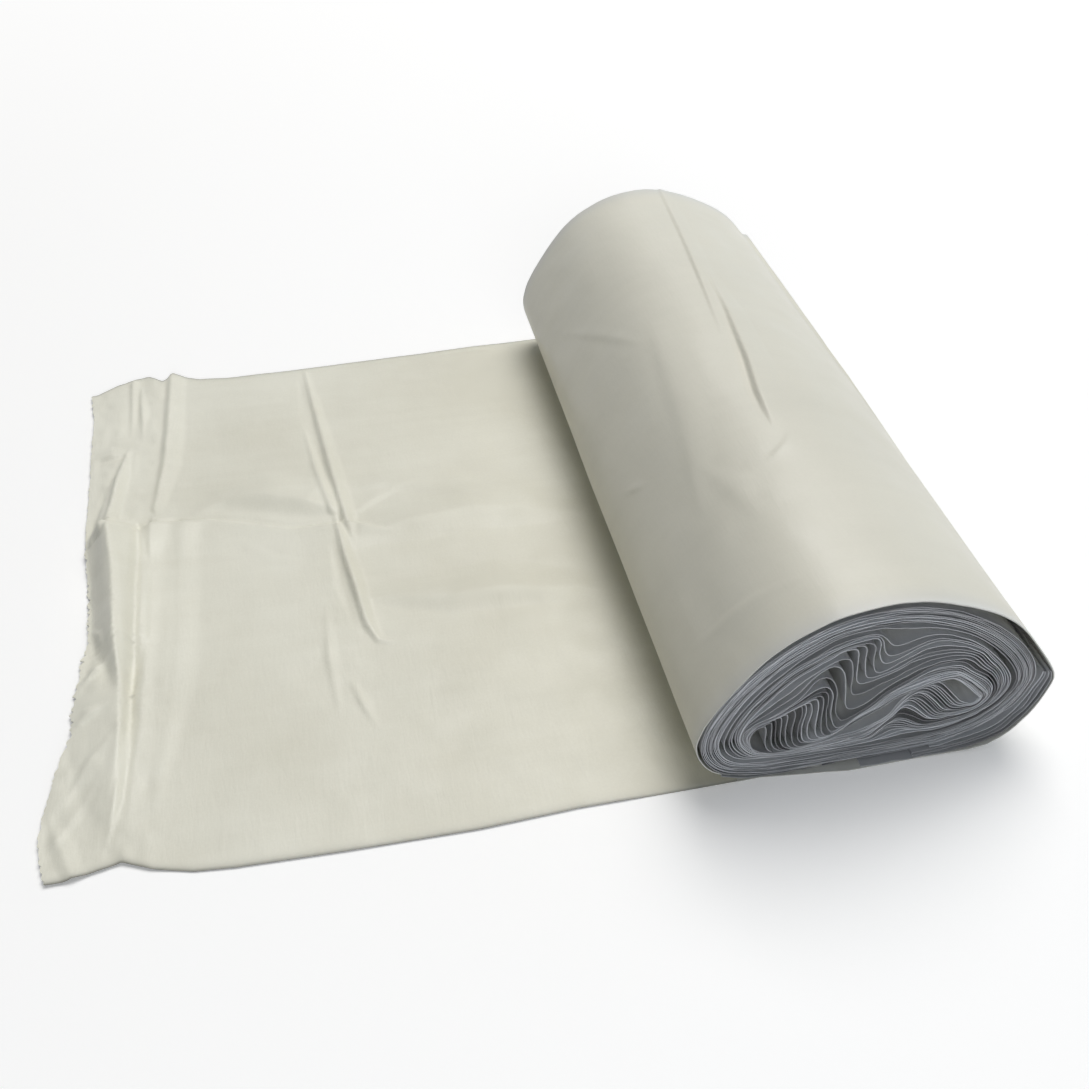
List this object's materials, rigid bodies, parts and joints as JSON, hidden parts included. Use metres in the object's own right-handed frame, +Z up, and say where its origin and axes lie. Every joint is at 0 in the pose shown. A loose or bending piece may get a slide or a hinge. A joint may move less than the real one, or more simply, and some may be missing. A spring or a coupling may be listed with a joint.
{
  "type": "bin bag roll",
  "caption": "Coreless roll of folded film bin bags lying on its side, with the leading bag pulled out flat on the floor to its torn, perforated end.",
  "frame": {"origin": "on the floor under the middle of the roll, at mid length", "axes": "+X across the roll and away from the leading bag, +Y along the roll away from its near end, +Z up"},
  "size_m": [0.3884, 0.336, 0.0886],
  "materials": {
    "film": "cream translucent film with a soft sheen"
  },
  "bodies": {
    "root": {"bag_roll": "film"}
  },
  "joints": []
}
